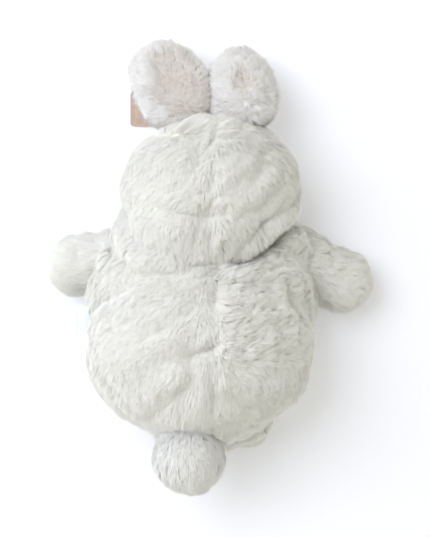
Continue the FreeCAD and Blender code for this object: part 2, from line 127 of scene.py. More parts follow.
def make_studio():
    """White floor, a bright even sky, a soft key from the upper left and a low soft light beside it."""
    world = bpy.data.worlds.new("studio")
    scene.world = world
    world.use_nodes = True
    sky = world.node_tree.nodes["Background"]
    sky.inputs["Color"].default_value = SKY
    sky.inputs["Strength"].default_value = 0.63
    area_light("key", place=(-0.75, 0.50, 1.65), across=1.3, watts=16.5)
    area_light("side", place=(-1.55, 0.45, 0.80), across=1.2, watts=7.5)
    bpy.ops.mesh.primitive_plane_add(size=12, location=(0, 0, 0))
    floor = bpy.context.object
    floor.name = "floor"
    paper = new_material(
        "floor_paper", Base_Color=(0.89, 0.90, 0.97, 1), Roughness=0.9,
        Emission_Color=(1, 1, 1, 1), Emission_Strength=0.17)
    floor.data.materials.append(paper[0])
    scene.view_settings.view_transform = "Standard"


# -------- materials

def new_material(name, **values):
    """A material with its node tree and its Principled shader, with some sockets set."""
    material = bpy.data.materials.new(name)
    material.use_nodes = True
    shader = material.node_tree.nodes["Principled BSDF"]
    for socket, value in values.items():
        shader.inputs[socket.replace("_", " ")].default_value = value
    return material, material.node_tree, shader


def plug(tree, socket, value):
    """Feeds a socket from another socket or a value."""
    if isinstance(value, bpy.types.NodeSocket):
        tree.links.new(value, socket)
    else:
        socket.default_value = value


def node(tree, kind, **values):
    """A shader node; each value goes to the socket or the setting of that name."""
    made = tree.nodes.new(kind)
    for key, value in values.items():
        if key in made.inputs:
            plug(tree, made.inputs[key], value)
        else:
            setattr(made, key, value)
    return made


def noise_texture(tree, scale, detail=3.0, stretch=(1, 1, 1)):
    """Noise on the object's own coordinates, stretched along its axes."""
    place = node(tree, "ShaderNodeTexCoord").outputs["Object"]
    spot = node(tree, "ShaderNodeMapping", Vector=place, Scale=stretch).outputs["Vector"]
    return node(tree, "ShaderNodeTexNoise", Vector=spot, Scale=scale, Detail=detail).outputs["Fac"]


def ramp(tree, factor, *stops):
    """Colour ramp; each stop is (place, (red, green, blue))."""
    made = node(tree, "ShaderNodeValToRGB", Fac=factor)
    elements = made.color_ramp.elements
    elements[0].position, elements[-1].position = stops[0][0], stops[-1][0]
    elements[0].color, elements[-1].color = (*stops[0][1], 1), (*stops[-1][1], 1)
    for place, colour in stops[1:-1]:
        elements.new(place).color = (*colour, 1)
    return made.outputs["Color"]


def mix(tree, blend, factor, first, second):
    """Mix of two colours from output sockets."""
    made = node(tree, "ShaderNodeMix", data_type="RGBA", blend_type=blend)
    for index, value in ((0, factor), (6, first), (7, second)):
        plug(tree, made.inputs[index], value)
    return made.outputs[2]


def calculate(tree, operation, *values):
    """A sum on sockets or numbers."""
    made = node(tree, "ShaderNodeMath", operation=operation)
    for socket, value in zip(made.inputs, values):
        plug(tree, socket, value)
    return made.outputs[0]


def add_bump(tree, shader, height, strength, distance):
    bump = node(tree, "ShaderNodeBump", Strength=strength, Distance=distance, Height=height)
    tree.links.new(bump.outputs["Normal"], shader.inputs["Normal"])


def roughness_from(tree, shader, factor, low, high):
    spread = node(tree, "ShaderNodeMapRange", **{"Value": factor, "To Min": low, "To Max": high})
    tree.links.new(spread.outputs["Result"], shader.inputs["Roughness"])


def pile_material(name, root, middle, tip, shade):
    """Fur: darker at the root, partly the pile's own colour and partly painted shade deep in the pile,
    with soft patches and streaks of a second shade.
    """
    material, tree, shader = new_material(
        name, Sheen_Weight=0.25, Sheen_Roughness=0.5, Specular_IOR_Level=0.2)
    along = node(tree, "ShaderNodeAttribute", attribute_name="along").outputs["Fac"]
    tone = node(tree, "ShaderNodeAttribute", attribute_name="tone").outputs["Fac"]
    # Painted shade: the root colour darkens each blade towards its root, and the backing, as shade deep
    # in the pile would; part of it is the pile's own creamier root colour.
    colour = ramp(tree, along, (0.0, root), (0.45, middle), (1.0, tip))
    patches = ramp(tree, noise_texture(tree, 34), (0.35, (1, 1, 1)), (0.75, shade))
    colour = mix(tree, "MULTIPLY", 0.8, colour, patches)
    tones = ramp(tree, tone, (0.0, (0.96, 0.955, 0.94)), (1.0, (1, 1, 1)))
    colour = mix(tree, "MULTIPLY", 1.0, colour, tones)
    tree.links.new(colour, shader.inputs["Base Color"])
    fine = noise_texture(tree, 900, 4.0)
    roughness_from(tree, shader, fine, 0.72, 0.95)
    add_bump(tree, shader, fine, 0.25, 0.4 * MM)
    return material


# -------- mesh arrays

def arrays_of(mesh):
    """Vertices and triangles of a mesh as arrays."""
    vertices = np.empty(len(mesh.vertices) * 3)
    mesh.vertices.foreach_get("co", vertices)
    mesh.calc_loop_triangles()
    triangles = np.empty(len(mesh.loop_triangles) * 3, np.int32)
    mesh.loop_triangles.foreach_get("vertices", triangles)
    return vertices.reshape(-1, 3), triangles.reshape(-1, 3)


def unit(vectors):
    length = np.linalg.norm(vectors, axis=-1, keepdims=True)
    return vectors / np.maximum(length, 1e-12)


def along_surface(ways, normals):
    """Directions laid flat on a surface."""
    return unit(ways - (ways * normals).sum(axis=1, keepdims=True) * normals)


def turned(first, second, angle):
    """Directions turned from the first towards the second."""
    return first * np.cos(angle)[:, None] + second * np.sin(angle)[:, None]


def face_vectors(vertices, triangles):
    """Each triangle's normal, as long as twice its area."""
    a, b, c = (vertices[triangles[:, k]] for k in range(3))
    return np.cross(b - a, c - a)


def scatter_add(count, index, values):
    return np.stack([np.bincount(index, values[:, k], count) for k in range(values.shape[1])], axis=1)


def normals_of(vertices, triangles):
    faces = np.repeat(face_vectors(vertices, triangles), 3, axis=0)
    return unit(scatter_add(len(vertices), triangles.ravel(), faces))


def edges_of(triangles):
    pairs = np.concatenate([triangles[:, (0, 1)], triangles[:, (1, 2)], triangles[:, (2, 0)]])
    return np.unique(np.sort(pairs, axis=1), axis=0)


def neighbour_mean(values, edges):
    """Mean of each vertex's neighbours, for an array with a row per vertex."""
    count = len(values)
    ends = np.concatenate([edges[:, 0], edges[:, 1]])
    others = np.concatenate([edges[:, 1], edges[:, 0]])
    total = scatter_add(count, ends, values[others])
    return total / np.maximum(np.bincount(ends, minlength=count), 1)[:, None]


def relax(vertices, triangles, rounds):
    """Smooths a surface, with a step back after each step so that it doesn't shrink."""
    edges = edges_of(triangles)
    for _ in range(rounds):
        for step in (0.5, -0.51):
            vertices = vertices + step * (neighbour_mean(vertices, edges) - vertices)
    return vertices


def take_shape(obj):
    """The arrays of an object with its modifiers; the object itself is deleted."""
    shaped = obj.evaluated_get(bpy.context.evaluated_depsgraph_get())
    arrays = arrays_of(shaped.to_mesh())
    shaped.to_mesh_clear()
    mesh = obj.data
    bpy.data.objects.remove(obj)
    bpy.data.meshes.remove(mesh)
    return arrays


def balls(places, subdivisions):
    """An object of unit spheres, each moved and stretched by a matrix."""
    bm = bmesh.new()
    for place in places:
        bmesh.ops.create_icosphere(bm, subdivisions=subdivisions, radius=1, matrix=place)
    mesh = bpy.data.meshes.new("balls")
    bm.to_mesh(mesh)
    bm.free()
    return add_object("balls", mesh)


def blob(forms, voxel, rounds):
    """One closed surface round several ellipsoids, each (centre, half axes)."""
    places = [
        Matrix.Translation(Vector(centre)) @ Matrix.Diagonal((*half, 1)) for centre, half in forms
    ]
    obj = balls(places, subdivisions=5)
    remesh = obj.modifiers.new("remesh", "REMESH")
    remesh.mode = "VOXEL"
    remesh.voxel_size = voxel
    vertices, triangles = take_shape(obj)
    return relax(vertices, triangles, rounds), triangles


def press_on_floor(vertices, level, softness):
    """Flattens what lies under a level, with a rounded edge."""
    rise = (vertices[:, 2] - level) / softness
    vertices[:, 2] = level + softness * np.logaddexp(0, rise)
    return vertices


def lumps(vertices, lump, seed, stretch=(1, 1, 1)):
    """Smooth noise from about -1 to 1 at each vertex, with lumps of a given size."""
    shift = Vector((seed * 7.13, seed * 3.71, seed * 1.93))
    scaled = vertices / (lump * np.array(stretch))
    return np.array([noise.noise(Vector(place) + shift) for place in scaled]) * 1.6


def near(distance, width):
    """1 at the middle, falling smoothly to 0 past a width."""
    return np.exp(-((distance / width) ** 2))


def smooth_step(value, low, high):
    t = np.clip((value - low) / (high - low), 0, 1)
    return t * t * (3 - 2 * t)


def path_distance(points, path):
    """Signed distance in plan from a path of (x, y) points, and how far along it, from 0 to 1."""
    best = np.full(len(points), np.inf)
    side = np.zeros(len(points))
    along = np.zeros(len(points))
    path = np.array(path, float)
    for index, (start, end) in enumerate(zip(path, path[1:])):
        run = end - start
        share = np.clip(((points[:, :2] - start) @ run) / (run @ run), 0, 1)
        gap = points[:, :2] - (start + share[:, None] * run)
        distance = np.hypot(gap[:, 0], gap[:, 1])
        closer = distance < best
        best[closer] = distance[closer]
        turn = run[0] * gap[:, 1] - run[1] * gap[:, 0]
        side[closer] = np.sign(turn[closer])
        along[closer] = ((index + share) / (len(path) - 1))[closer]
    return best * side, along


def push_out(skin, height):
    """Moves each vertex along its normal."""
    skin["v"] += height[:, None] * skin["n"]


def fold(skin, path, height, width, lean=0.0):
    """Raises a ridge along a path in plan, with a valley on one side of it, fading at both ends."""
    distance, along = path_distance(skin["v"], path)
    top = smooth_step(skin["n"][:, 2], 0.0, 0.45)
    fade = np.sin(np.pi * np.clip(along, 0.02, 0.98)) ** 0.6
    shape = near(distance, width) - lean * near(distance - 1.5 * width, width)
    push_out(skin, height * shape * fade * top)


SLACK = 0.4 * MM
SPARE_FABRIC = 0.012
SEWN_WITHIN = 2.2 * MM
MOST_SWELLING = 2.5 * MM
CLOTH_FRAMES = 20


def puff(vertices, triangles, seams):
    """Cloth simulation of a stuffed skin: cut a little small, it swells between its seams.

    Each seam is (axis, plane); the vertices beside it are held.
    """
    start = vertices - SLACK * normals_of(vertices, triangles)
    mesh = bpy.data.meshes.new("cloth")
    mesh.from_pydata(start.tolist(), [], triangles.tolist())
    obj = add_object("cloth", mesh)
    sewn = obj.vertex_groups.new(name="sewn")
    for axis, plane in seams:
        beside = np.flatnonzero(np.abs(start[:, axis] - plane) < SEWN_WITHIN)
        sewn.add(beside.tolist(), 1.0, "REPLACE")
    cloth = obj.modifiers.new("cloth", "CLOTH")
    cloth.settings.vertex_group_mass = "sewn"
    cloth.settings.use_pressure = True
    cloth.settings.uniform_pressure_force = 4
    cloth.settings.shrink_min = -SPARE_FABRIC
    cloth.settings.mass = 0.0003
    cloth.settings.tension_stiffness = 5
    cloth.settings.compression_stiffness = 5
    cloth.settings.bending_stiffness = 0.05
    cloth.settings.effector_weights.gravity = 0
    cloth.point_cache.frame_end = CLOTH_FRAMES
    for step in range(CLOTH_FRAMES):
        scene.frame_set(step + 1)
    move = take_shape(obj)[0] - start
    scene.frame_set(1)
    far = np.linalg.norm(move, axis=1, keepdims=True)
    return relax(start + move * np.minimum(1, MOST_SWELLING / np.maximum(far, 1e-9)), triangles, 4)


PILE_LENGTH = 11 * MM
USUAL_GROOM = {"lift": 16.0, "mess": 5.0, "gather": 0.2, "length": PILE_LENGTH, "density": 1.0}


def make_skin(forms, rounds, seed, voxel=3 * MM, floor=None, seams=()):
    """A skin's arrays: vertices, triangles, normals and a groom that later steps change.

    Lift and mess are in degrees, gather is a share, and density is a multiple of the usual one.
    """
    vertices, triangles = blob(forms, voxel, rounds)
    if seams:
        vertices = puff(vertices, triangles, seams)
    if floor is not None:
        vertices = press_on_floor(vertices, floor, 3 * MM)
    skin = {"v": vertices, "t": triangles, "voxel": voxel, "seed": seed}
    refresh(skin)
    count = len(vertices)
    skin["flow"] = np.tile((0.0, -1.0, 0.0), (count, 1))
    for name, value in USUAL_GROOM.items():
        skin[name] = np.full(count, value)
    return skin


def shares(skin, centre, half):
    """Each vertex's place in plan, as shares of a part's half width and half length."""
    return ((skin["v"][:, :2] - centre[:2]) / half[:2]).T


def swirl(skin, lump, degrees, seed):
    """Turns the pile's direction gently back and forth over the surface."""
    turn = np.radians(degrees) * lumps(skin["v"], lump, seed)
    flat = along_surface(skin["flow"], skin["n"])
    skin["flow"] = turned(flat, np.cross(skin["n"], flat), turn)


def refresh(skin):
    skin["n"] = normals_of(skin["v"], skin["t"])


def pocket(skin, centre, radius):
    """Dents a skin so that a ball fits into it from outside."""
    away = skin["v"] - centre
    across = (skin["n"] * away).sum(axis=1)
    inside = (away**2).sum(axis=1) < radius**2
    reach = across + np.sqrt(np.maximum(across**2 - (away**2).sum(axis=1) + radius**2, 0))
    skin["v"][inside] -= reach[inside, None] * skin["n"][inside]


# -------- pile

BLADES_PER_MM2 = 4.0
BLADE_WIDTH = 0.36 * MM
CLUMP = 3.2 * MM
FLOOR_GAP = 0.3 * MM
STEEPEST = 1.5


def sample(skin, faces, weights, *names):
    """Some of a skin's vertex values at points inside its triangles."""
    for name in names:
        values = skin[name][skin["t"][faces]]
        share = weights[:, :, None] if values.ndim == 3 else weights
        yield (values * share).sum(axis=1)


def pile(skin, keep, clump=CLUMP, curl=0.0):
    """Blades of pile on the triangles in keep: a dict of their points, normals and root faces.

    Each blade is a root, two middle points and a tip. Blades near each other lean to one tip, so
    that the pile gathers into small locks. Curl bends the tips aside by a share of the length.
    """
    rng = np.random.default_rng(skin["seed"])
    faces = np.flatnonzero(keep)
    area = np.linalg.norm(face_vectors(skin["v"], skin["t"][faces]), axis=1) / 2
    wanted = area / MM**2 * BLADES_PER_MM2 * skin["density"][skin["t"][faces]].mean(axis=1)
    total = np.cumsum(wanted)
    picks = np.arange(rng.random(), total[-1], 1.0)
    faces = faces[np.searchsorted(total, picks)]
    count = len(faces)
    weights = rng.dirichlet((1.0, 1.0, 1.0), count)
    root, normal, flow = sample(skin, faces, weights, "v", "n", "flow")
    normal = unit(normal)
    lift, mess = np.radians(list(sample(skin, faces, weights, "lift", "mess")))
    length, gather = sample(skin, faces, weights, "length", "gather")

    spots = max(4, int(area.sum() / clump**2))
    centres = rng.choice(count, min(spots, count), replace=False)
    tree = KDTree(len(centres))
    for index, place in enumerate(root[centres]):
        tree.insert(place, index)
    tree.balance()
    owner = np.array([tree.find(place)[1] for place in root])
    lead = centres[owner]

    turn = rng.normal(0, 1, len(centres))[owner] * mess + rng.normal(0, 0.15, count)
    rise = lift * (1 + 0.12 * rng.normal(0, 1, len(centres))[owner]) + rng.normal(0, 0.06, count)
    rise = np.clip(rise, 0.05, 1.45)
    flat = along_surface(flow, normal)
    flat = turned(flat, np.cross(normal, flat), turn)
    length = length * rng.uniform(0.7, 1.15, count) * rng.uniform(0.92, 1.06, len(centres))[owner]

    def reach(share, angle):
        return (length * share)[:, None] * turned(flat, normal, angle)

    middle = root + reach(0.5, np.clip(rise * 1.5, 0, STEEPEST))
    tip = middle + reach(0.55, rise * 0.6)
    if curl:
        around = rng.uniform(0, 2 * np.pi, count)
        tip += (curl * length)[:, None] * turned(flat, np.cross(normal, flat), around)
    lock_tip = tip[lead] + 0.25 * (root - root[lead])
    tip = tip + gather[:, None] * (lock_tip - tip)
    lock_middle = middle[lead] + 0.6 * (root - root[lead])
    middle = middle + 0.25 * gather[:, None] * (lock_middle - middle)

    roll = rng.uniform(-0.3, 0.3, count)
    direction = unit(tip - root)
    side = unit(np.cross(direction, normal))
    side = turned(side, np.cross(side, direction), roll)
    half = (BLADE_WIDTH / 2) * rng.uniform(0.7, 1.3, count)[:, None]
    sunk = root - 0.3 * MM * normal
    points = np.stack([sunk, middle - half * side, middle + half * side, tip], axis=1)
    points[:, :, 2] = np.maximum(points[:, :, 2], FLOOR_GAP)
    face_normal = unit(np.cross(points[:, 2] - points[:, 0], points[:, 1] - points[:, 0]))
    face_normal *= np.sign((face_normal * normal).sum(axis=1, keepdims=True) + 1e-9)
    soft = unit(0.9 * normal + 0.1 * face_normal)
    tone = np.clip(rng.normal(0.6, 0.14, len(centres))[owner] + rng.normal(0, 0.15, count), 0, 1)
    return {"points": points, "normal": soft, "face": faces, "tone": tone}


# -------- pieces

BACKING = 1.5 * MM
BACKING_TONE = 0.5
# The backing sits near the root end of the pile's colour ramp, so it carries the root colour's painted
# shade.
BACKING_ALONG = 0.2
BLADE_ALONG = (0.1, 0.55, 0.55, 1.0)
BLADE_IN_CELL = ((0.5, 0.1), (0.1, 0.5), (0.9, 0.5), (0.5, 0.95))
BACKING_ROWS = 0.22
BLADE_ROWS = (0.24, 0.76)


def fill_mesh(name, vertices, triangles, material, normals=None, floats=(), corner_uv=None):
    """An object made from arrays."""
    mesh = bpy.data.meshes.new(name)
    mesh.vertices.add(len(vertices))
    mesh.vertices.foreach_set("co", np.ascontiguousarray(vertices, np.float32).ravel())
    mesh.loops.add(triangles.size)
    mesh.loops.foreach_set("vertex_index", np.ascontiguousarray(triangles, np.int32).ravel())
    mesh.polygons.add(len(triangles))
    mesh.polygons.foreach_set("loop_start", np.arange(0, triangles.size, 3, dtype=np.int32))
    mesh.update(calc_edges=True)
    mesh.polygons.foreach_set("use_smooth", np.ones(len(triangles), bool))
    for attribute, values in floats:
        layer = mesh.attributes.new(attribute, "FLOAT", "POINT")
        layer.data.foreach_set("value", values.astype(np.float32))
    if corner_uv is not None:
        layer = mesh.uv_layers.new(name="OFBake")
        layer.data.foreach_set("uv", corner_uv.astype(np.float32).ravel())
    if normals is not None:
        mesh.normals_split_custom_set_from_vertices(normals.astype(np.float32))
    mesh.materials.append(material)
    return add_object(name, mesh)


def patch_shell(skin, keep, thickness=BACKING):
    """The kept triangles as a thin closed shell: (vertices, triangles, normals)."""
    used, flat = np.unique(skin["t"][keep], return_inverse=True)
    outer = flat.reshape(-1, 3)
    count = len(used)
    vertices = np.concatenate([skin["v"][used], skin["v"][used] - thickness * skin["n"][used]])
    normals = np.concatenate([skin["n"][used], -skin["n"][used]])
    directed = np.concatenate([outer[:, (0, 1)], outer[:, (1, 2)], outer[:, (2, 0)]])
    key = directed[:, 0].astype(np.int64) * count + directed[:, 1]
    back = directed[:, 1].astype(np.int64) * count + directed[:, 0]
    rim = directed[~np.isin(key, back)]
    sides = np.concatenate([
        np.stack([rim[:, 1], rim[:, 0], rim[:, 0] + count], axis=1),
        np.stack([rim[:, 1], rim[:, 0] + count, rim[:, 1] + count], axis=1),
    ])
    triangles = np.concatenate([outer, outer[:, ::-1] + count, sides])
    return vertices, triangles, normals


def fur_piece(panel, body, skin, keep, blades, material):
    """One panel: its backing and the blades rooted on it, in place of its CAD node.

    In the texture the backing has the lowest rows, and each blade has a cell above them.
    """
    vertices, triangles, normals = patch_shell(skin, keep)
    low, high = vertices.min(axis=0), vertices.max(axis=0)
    plan = (vertices[:, :2] - low[:2]) / (high - low)[:2]
    base_uv = plan[triangles] * (1, BACKING_ROWS)
    rooted = keep[blades["face"]]
    points = blades["points"][rooted]
    count = len(points)
    starts = len(vertices) + 4 * np.arange(count)[:, None]
    blade_triangles = np.concatenate([starts + (0, 2, 1), starts + (1, 2, 3)], axis=1).reshape(-1, 3)
    cells = max(1, math.ceil(math.sqrt(count)))
    corner = np.stack([np.arange(count) % cells, np.arange(count) // cells], axis=1) / cells
    shape = np.array(BLADE_IN_CELL) / cells
    cell_uv = (corner[:, None, :] + shape[None]) * (1, BLADE_ROWS[1]) + (0, BLADE_ROWS[0])
    blade_uv = cell_uv[:, (0, 2, 1, 1, 2, 3)].reshape(-1, 3, 2)
    base = np.ones(len(vertices))
    along = np.concatenate([base * BACKING_ALONG, np.tile(BLADE_ALONG, count)])
    tone = np.concatenate([base * BACKING_TONE, np.repeat(blades["tone"][rooted], 4)])
    obj = fill_mesh(
        panel + "_fur",
        np.concatenate([vertices, points.reshape(-1, 3)]),
        np.concatenate([triangles, blade_triangles]),
        material,
        np.concatenate([normals, np.repeat(blades["normal"][rooted], 4, axis=0)]),
        (("along", along), ("tone", tone)),
        np.concatenate([base_uv, blade_uv]),
    )
    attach(obj, body)
    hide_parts(panel)


def centroids(skin):
    return skin["v"][skin["t"]].mean(axis=1)


def snap(skin, axis, plane, where=True):
    """Moves vertices beside a seam plane onto it, so that the panels' edges are straight."""
    close = np.abs(skin["v"][:, axis] - plane) < 0.55 * skin["voxel"]
    skin["v"][close & where, axis] = plane


def filling(body, skin, inset):
    """Lumpy stuffing inside a body's skin, in place of the plain CAD solid."""
    wave = lumps(skin["v"], 9 * MM, skin["seed"] + 40)
    vertices = skin["v"] - (inset + 0.6 * MM * (1 + wave))[:, None] * skin["n"]
    vertices = relax(vertices, skin["t"], 2)
    obj = fill_mesh(body + "_filling", vertices, skin["t"], FILLING)
    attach(obj, body)
    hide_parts(body + "_stuffing")


def cover_body(skin, body, panels):
    """The left and right panels that meet at the centre seam, and the panel under them."""
    seam_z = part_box(panels[0])[0][2]
    faces = centroids(skin)
    top = faces[:, 2] > seam_z
    upper = skin["v"][:, 2] > seam_z - 4 * MM
    snap(skin, 2, seam_z)
    snap(skin, 0, SEAM_X, upper)
    refresh(skin)
    open_neck = np.linalg.norm(faces - NECK, axis=1) > NECK_OPENING
    left = top & (faces[:, 0] < SEAM_X)
    blades = pile(skin, open_neck)
    for panel, keep in zip(panels, (left, top & ~left, ~top)):
        fur_piece(panel, body, skin, keep & open_neck, blades, FUR)
    filling(body, skin, 4 * MM)


def cover_limb(skin, body, panels, first):
    """Two fur panels, the first on the faces marked, and the filling inside them."""
    blades = pile(skin, np.ones(len(first), bool))
    for panel, keep in zip(panels, (first, ~first)):
        fur_piece(panel, body, skin, keep, blades, FUR)
    filling(body, skin, 3.5 * MM)


# -------- torso

PILE_DEPTH = 2.5 * MM
SEAM_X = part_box("back_panel_left")[1][0]
NECK = joint_place("neck_nod")
NECK_OPENING = 34 * MM


def in_plan(centre, half, path):
    """Points given as shares of a part's half width and half length, in metres."""
    return [(centre[0] + u * half[0], centre[1] + v * half[1]) for u, v in path]


def bulges(centre, half, others):
    """A body's main form, and others on it as (offset, half axes) in millimetres."""
    forms = [(centre, half)]
    for offset, size in others:
        forms.append((centre + np.array(offset) * MM, np.array(size) * MM))
    return forms


def radial_pinch(skin, centre, depth, width, rays):
    """Dimple with folds that run out of it; each ray is (degrees, length, height), in mm."""
    gap = skin["v"][:, :2] - centre
    distance = np.hypot(gap[:, 0], gap[:, 1])
    top = smooth_step(skin["n"][:, 2], 0.0, 0.45)
    push_out(skin, -depth * near(distance, width) * top)
    for degrees, length, height in rays:
        angle = math.radians(degrees)
        way = np.array((math.cos(angle), math.sin(angle)))
        ends = [centre + 0.35 * width * way, centre + length * MM * way]
        fold(skin, ends, height * MM, 5.5 * MM)


def head_form():
    """Centre and half sizes of the head's round form."""
    low, high = span(*HEAD_PANELS)
    half_x = (high[0] - low[0]) / 2
    half = np.array((half_x, 0.835 * half_x, high[2] / 2))
    return np.array(((low[0] + high[0]) / 2, high[1] - half[1], high[2] / 2)), half


def nape_line():
    """The right half of the crease between the head and the back, in plan."""
    path = (
        (1.04, -0.28), (0.80, -0.52), (0.69, -0.64), (0.53, -0.81),
        (0.32, -0.95), (0.08, -1.07), (-0.2, -1.12),
    )
    return in_plan(*head_form(), path)


def torso_skin():
    """The barrel of the torso with its chest, shoulders, flanks and rump."""
    low, high = span(*TORSO_PANELS)
    middle_x = (low[0] + high[0]) / 2
    half_x = (high[0] - low[0]) / 2 - PILE_DEPTH
    half_y = 0.876 * (half_x + PILE_DEPTH) - PILE_DEPTH
    half_z = 0.54 * high[2] - PILE_DEPTH
    barrel = np.array((middle_x, low[1] + PILE_DEPTH + half_y, high[2] - PILE_DEPTH - half_z))
    forms = bulges(barrel, (half_x, half_y, half_z), (
        ((3, 52, -8), (0.97 * half_x / MM, 49, 63)),
        ((-53, 40, -22), (46, 62, 46)),
        ((58, 40, -22), (42, 62, 46)),
        ((18, -37, -22), (0.57 * half_x / MM, 52, 44)),
        ((-47, 88, -8), (30, 42, 36)),
        ((-22, 78, 23), (38, 24, 30)),
        ((60, 84, -20), (36, 30, 34)),
        ((47, -52, -24), (26, 30, 34)),
    ))
    seams = ((0, SEAM_X), (2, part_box(TORSO_PANELS[0])[0][2]))
    skin = make_skin(forms, rounds=12, floor=2.6 * MM, seed=3, seams=seams)
    tail_low, tail_high = span("tail_cover")
    pocket(skin, (tail_low + tail_high) / 2, (tail_high[0] - tail_low[0]) / 2 + 1 * MM)
    skin["v"] = relax(skin["v"], skin["t"], 6)
    refresh(skin)
    narrow_rump(skin, barrel, half_y)
    refresh(skin)
    crease_and_ruffle(skin, barrel, (half_x, half_y))
    groom_torso(skin, barrel, (half_x, half_y))
    return skin


def narrow_rump(skin, centre, half_y):
    """Tapers the torso to the tail, more on the right than on the left."""
    axis = centre[0] + 16 * MM
    share = smooth_step((centre[1] - skin["v"][:, 1]) / half_y, 0.45, 1.0)
    away = skin["v"][:, 0] - axis
    skin["v"][:, 0] = axis + away * (1 - np.where(away > 0, 0.22, 0.08) * share)


# Each fold is (path in shares, height, width), with the height and width in millimetres.
TORSO_FOLDS = (
    (((-0.02, 0.62), (-0.30, 0.36), (-0.62, 0.16)), 1.8, 7.0),
    (((0.00, 0.36), (-0.28, 0.14), (-0.58, -0.12)), 2.2, 7.5),
    (((-0.30, 0.80), (-0.55, 0.55), (-0.74, 0.26)), 0.8, 7.0),
    (((-0.12, -0.18), (-0.36, -0.36), (-0.52, -0.62)), 1.8, 7.0),
    (((0.10, 0.86), (0.46, 0.72), (0.80, 0.74)), 2.6, 7.0),
    (((0.22, 0.56), (0.52, 0.50), (0.84, 0.56)), 2.2, 6.0),
    (((0.12, 0.40), (0.40, 0.28), (0.78, 0.34)), 2.2, 6.0),
    (((0.16, 0.22), (0.48, 0.12), (0.80, 0.12)), 1.8, 6.0),
    (((0.60, 0.70), (0.70, 0.40), (0.88, 0.10)), 2.4, 6.0),
    (((0.30, -0.20), (0.55, -0.34), (0.74, -0.30)), 1.8, 7.0),
    (((0.20, -0.52), (0.40, -0.64), (0.56, -0.60)), 1.6, 6.0),
)
PINCH = (-0.05, -0.01)
PINCH_RAYS = (
    (25, 26, -4.0), (60, 34, 1.2), (-8, 40, 1.4), (-42, 46, 1.4), (-72, 62, 2.6),
    (-100, 52, -2.0), (-122, 48, 1.6), (-155, 40, -1.0), (168, 44, 1.4), (128, 38, 1.2),
)


def ruffled(skin, centre, half):
    """1 over the upper right of the back, where the pile is brushed up into tufts."""
    u, v = shares(skin, centre, half)
    edge = 0.10 * lumps(skin["v"], 16 * MM, 5)
    across = smooth_step(u + edge, 0.06, 0.24)
    return across * smooth_step(v + edge, -0.30, 0.02) * smooth_step(skin["n"][:, 2], 0.25, 0.65)


def crease_and_ruffle(skin, centre, half):
    """Seam groove, pinch, long folds and soft lumps of the back."""
    push_out(skin, 1.5 * MM * lumps(skin["v"], 38 * MM, 1))
    low_end = (SEAM_X, centre[1] - 0.9 * half[1])
    high_end = (SEAM_X, centre[1] + 1.1 * half[1])
    fold(skin, [low_end, (SEAM_X + 1 * MM, centre[1]), high_end], -2.2 * MM, 4 * MM)
    for path, height, width in TORSO_FOLDS:
        fold(skin, in_plan(centre, half, path), height * MM, width * MM, lean=0.7)
    pinch = np.array(in_plan(centre, half, [PINCH])[0])
    radial_pinch(skin, pinch, 7 * MM, 10 * MM, PINCH_RAYS)
    fold(skin, nape_line(), -6 * MM, 4.5 * MM)
    fold(skin, [(x, y - 12 * MM) for x, y in nape_line()], 2.5 * MM, 7 * MM)
    refresh(skin)
    rough = ruffled(skin, centre, half)
    push_out(skin, 1.3 * MM * rough * lumps(skin["v"], 8 * MM, 2, (1.6, 0.9, 1)))
    streaks = lumps(skin["v"] @ turn_about_z(35), 8 * MM, 3, (1, 3.2, 1.5))
    push_out(skin, 0.8 * MM * (1 - rough) * streaks)
    settle(skin, 2.2 * MM)


def settle(skin, lowest):
    """Softens a creased skin a little and keeps it above the floor."""
    skin["v"] = relax(skin["v"], skin["t"], 1)
    skin["v"][:, 2] = np.maximum(skin["v"][:, 2], lowest)
    refresh(skin)


def turn_about_z(degrees):
    c, s = math.cos(math.radians(degrees)), math.sin(math.radians(degrees))
    return np.array(((c, -s, 0), (s, c, 0), (0, 0, 1)))


def groom_torso(skin, centre, half):
    """Pile runs to the tail and outwards, and stands up in tufts where it is ruffled."""
    u, _ = shares(skin, centre, half)
    rough = ruffled(skin, centre, half)
    skin["flow"][:, 0] = 0.55 * u - 0.25 * near(u + 0.45, 0.45)
    skin["flow"][:, 2] = -0.35
    tufts = np.array((0.75, 0.45, 0.3))
    skin["flow"] += (rough * 1.5)[:, None] * (tufts - skin["flow"] * 0.6)
    skin["lift"] += 7 * rough
    skin["mess"] += 11 * rough
    skin["gather"] += 0.2 * rough
    swirl(skin, 26 * MM, 16, 6)
    pinch = in_plan(centre, half, [PINCH])[0]
    gap = np.hypot(skin["v"][:, 0] - pinch[0], skin["v"][:, 1] - pinch[1])
    # The pile is shorter and sparser in the pinch, which lets more of the backing's darker root colour
    # show there as painted shade in the dimple.
    pinch_thinned_for_shade = near(gap, 8 * MM) * (skin["n"][:, 2] > 0)
    skin["length"] *= 1 - 0.5 * pinch_thinned_for_shade
    skin["density"] *= 1 - 0.4 * pinch_thinned_for_shade
    thin_underside(skin)


def thin_underside(skin):
    """Shorter and thinner pile where the bunny lies on it."""
    under = smooth_step(-skin["n"][:, 2], 0.3, 0.8)
    skin["density"] *= 1 - 0.72 * under
    skin["length"] *= 1 - 0.35 * under


# -------- head

